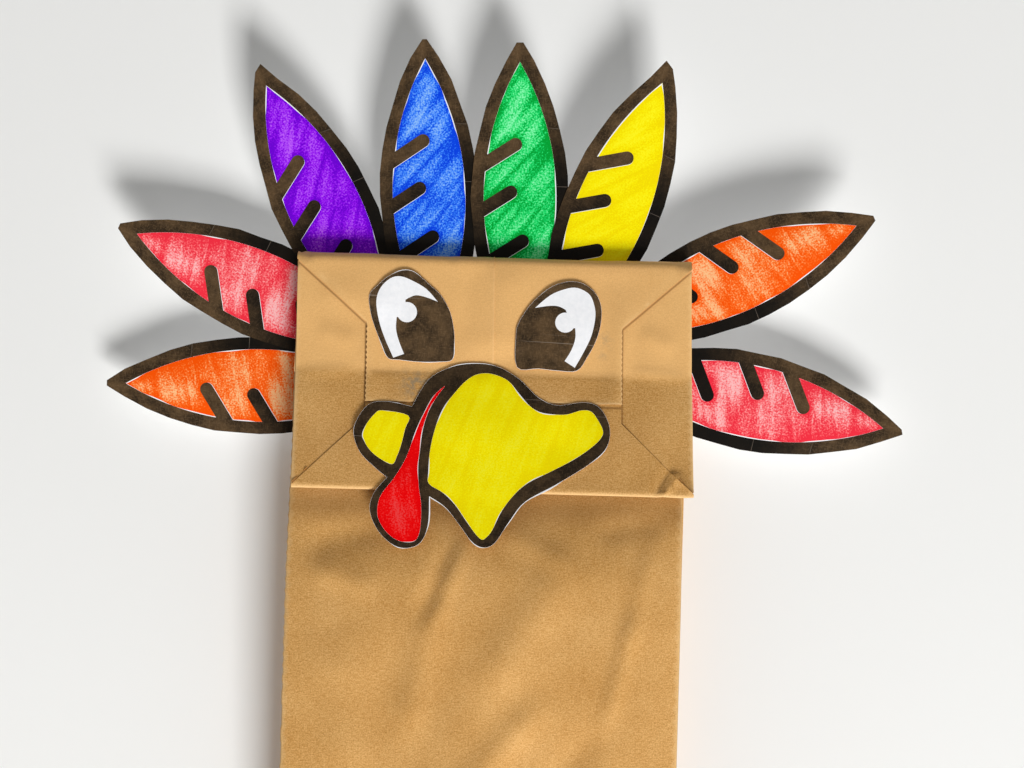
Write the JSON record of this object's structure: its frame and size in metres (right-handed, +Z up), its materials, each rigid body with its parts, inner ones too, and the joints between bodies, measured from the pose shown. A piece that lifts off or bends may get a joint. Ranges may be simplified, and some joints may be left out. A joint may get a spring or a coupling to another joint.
{
  "type": "paper bag puppet",
  "caption": "Turkey hand puppet folded from a flat-bottomed kraft paper bag, with a hinged head flap for a mouth, printed eyes, beak and snood, and a fan of coloured paper feathers.",
  "frame": {"origin": "centre of the bag's open end, midway between its front and back panels", "axes": "+Z runs up the bag from the open end to the top crease, the face looks along -Y, +X is to the viewer's right"},
  "size_m": [0.266, 0.0257, 0.3426],
  "materials": {
    "kraft": "matte",
    "glue": "matte",
    "purple_marker": "matte",
    "blue_marker": "matte",
    "green_marker": "matte",
    "yellow_marker": "matte",
    "red_marker": "matte",
    "orange_marker": "matte",
    "beak_marker": "matte",
    "printed_black": "matte"
  },
  "bodies": {
    "root": {"back_panel_left": "kraft", "back_panel_right": "kraft", "seam_glue": "glue", "gusset_back_left": "kraft", "gusset_back_right": "kraft", "feather_purple": "purple_marker", "feather_blue": "blue_marker", "feather_green": "green_marker", "feather_yellow": "yellow_marker", "feather_red_left": "red_marker", "feather_orange_left": "orange_marker", "feather_orange_right": "orange_marker", "feather_red_right": "red_marker", "feather_glue_dots": "glue"},
    "front": {"front_panel": "kraft", "gusset_front_left": "kraft", "gusset_front_right": "kraft"},
    "head": {"bottom_flap_outer": "kraft", "bottom_flap_inner": "kraft", "bottom_paste": "glue", "side_tuck_left": "kraft", "side_tuck_right": "kraft", "side_triangle_left": "kraft", "side_triangle_right": "kraft", "eye_left": "printed_black", "eye_right": "printed_black", "beak_and_snood": "beak_marker", "face_glue_dots": "glue"},
    "pleat": {"mouth_pleat": "kraft", "pleat_corner_left": "kraft", "pleat_corner_right": "kraft"}
  },
  "joints": [
    {"name": "head_fold", "type": "hinge", "parent": "root", "child": "head", "pos_m": [0, 0.0085, 0.27], "axis": [-1, 0, 0], "range_deg": [0, 50]},
    {"name": "pleat_fold", "type": "hinge", "parent": "head", "child": "pleat", "pos_m": [0, -0.0077, 0.1937], "axis": [-1, 0, 0], "range_deg": [0, 27]},
    {"name": "front_lean", "type": "hinge", "parent": "root", "child": "front", "pos_m": [0, -0.009, 0.001], "axis": [1, 0, 0], "range_deg": [0, 6]}
  ],
  "couplings": [
    {"joint": "pleat_fold", "follows": "head_fold", "ratio": 0.52},
    {"joint": "front_lean", "follows": "head_fold", "ratio": 0.1125}
  ]
}
